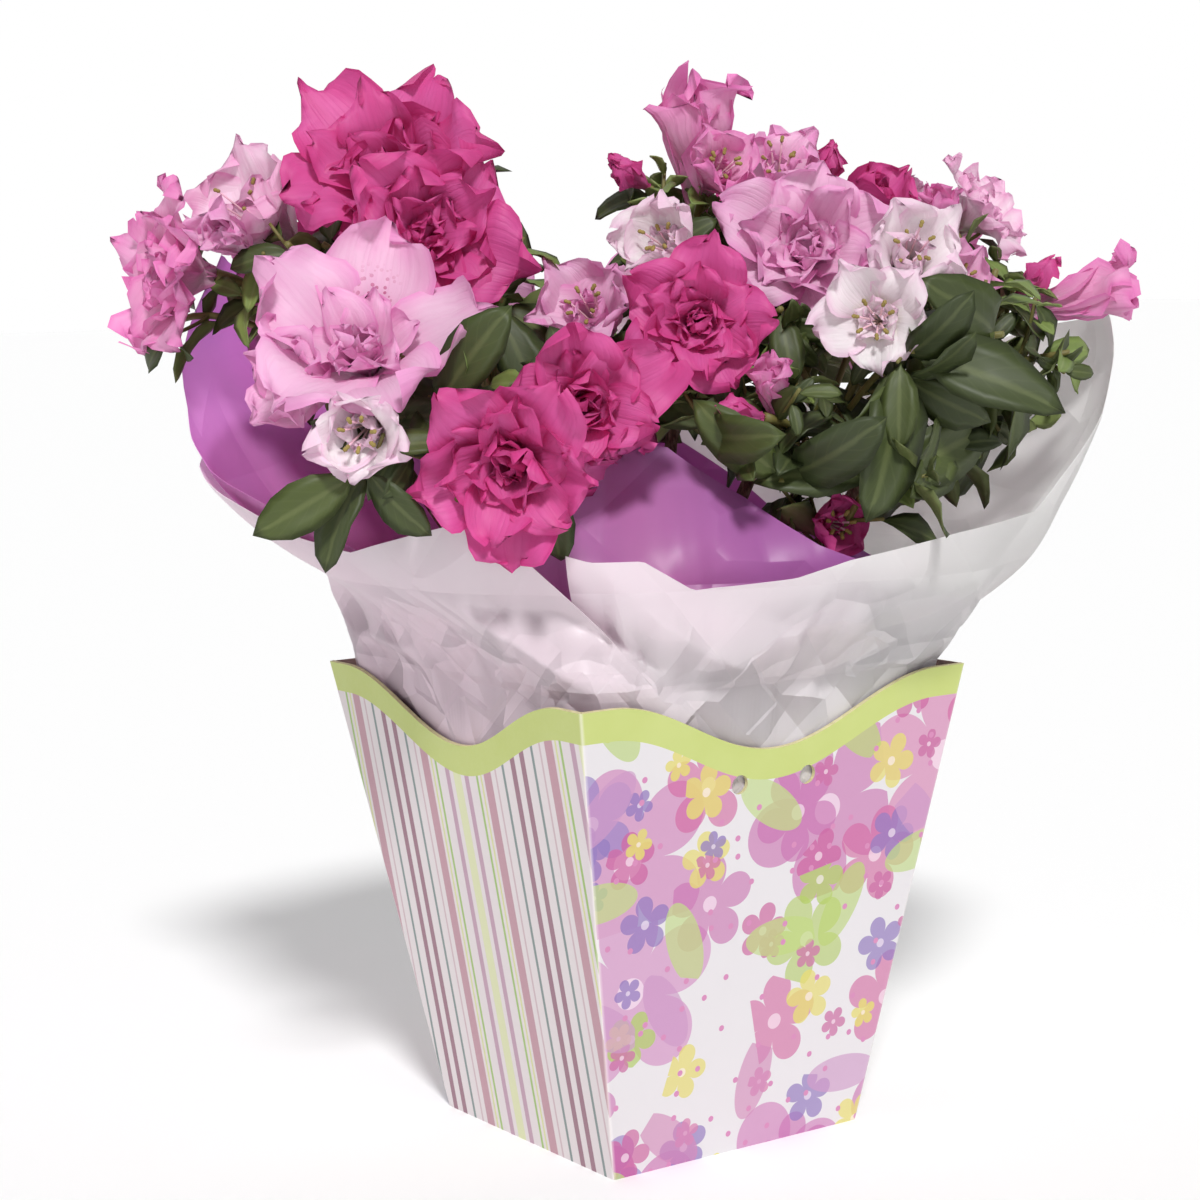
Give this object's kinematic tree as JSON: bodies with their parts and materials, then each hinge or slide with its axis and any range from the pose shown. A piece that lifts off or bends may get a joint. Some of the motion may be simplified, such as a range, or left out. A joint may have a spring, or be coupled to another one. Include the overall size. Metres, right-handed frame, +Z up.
{
  "type": "potted azalea",
  "caption": "Potted flowering azalea with pink double blooms, in a square tapered card planter lined with two sheets of flared film wrap.",
  "frame": {"origin": "centre of the planter's flat underside", "axes": "+Z up; the printed walls face -Y and +Y, the striped walls face -X and +X"},
  "size_m": [0.2646, 0.2172, 0.2967],
  "materials": {
    "card": "printed, satin",
    "pot": "moulded, satin",
    "peat": "crumbly, matte",
    "film_frosted": "frosted film",
    "film_violet": "satin film",
    "bark": "fissured bark",
    "spray": "soft petals and satin leaves"
  },
  "bodies": {
    "root": {"planter_box": "card", "nursery_pot": "pot", "peat": "peat", "frosted_film": "film_frosted", "violet_film": "film_violet", "trunk": "bark", "bough_left_top": "bark", "bough_left_front": "bark", "bough_left_side": "bark", "bough_front_low": "bark", "bough_centre": "bark", "bough_right_peak": "bark", "bough_right_top": "bark", "bough_right_front": "bark", "bough_right_side": "bark", "bough_right_low": "bark", "bough_back_left": "bark", "bough_back_mid": "bark", "bough_back_right": "bark", "spray_left_top": "spray", "spray_left_front": "spray", "spray_left_side": "spray", "spray_front_low": "spray", "spray_centre": "spray", "spray_right_peak": "spray", "spray_right_top": "spray", "spray_right_front": "spray", "spray_right_side": "spray", "spray_right_low": "spray", "spray_back_left": "spray", "spray_back_mid": "spray", "spray_back_right": "spray"}
  },
  "joints": []
}
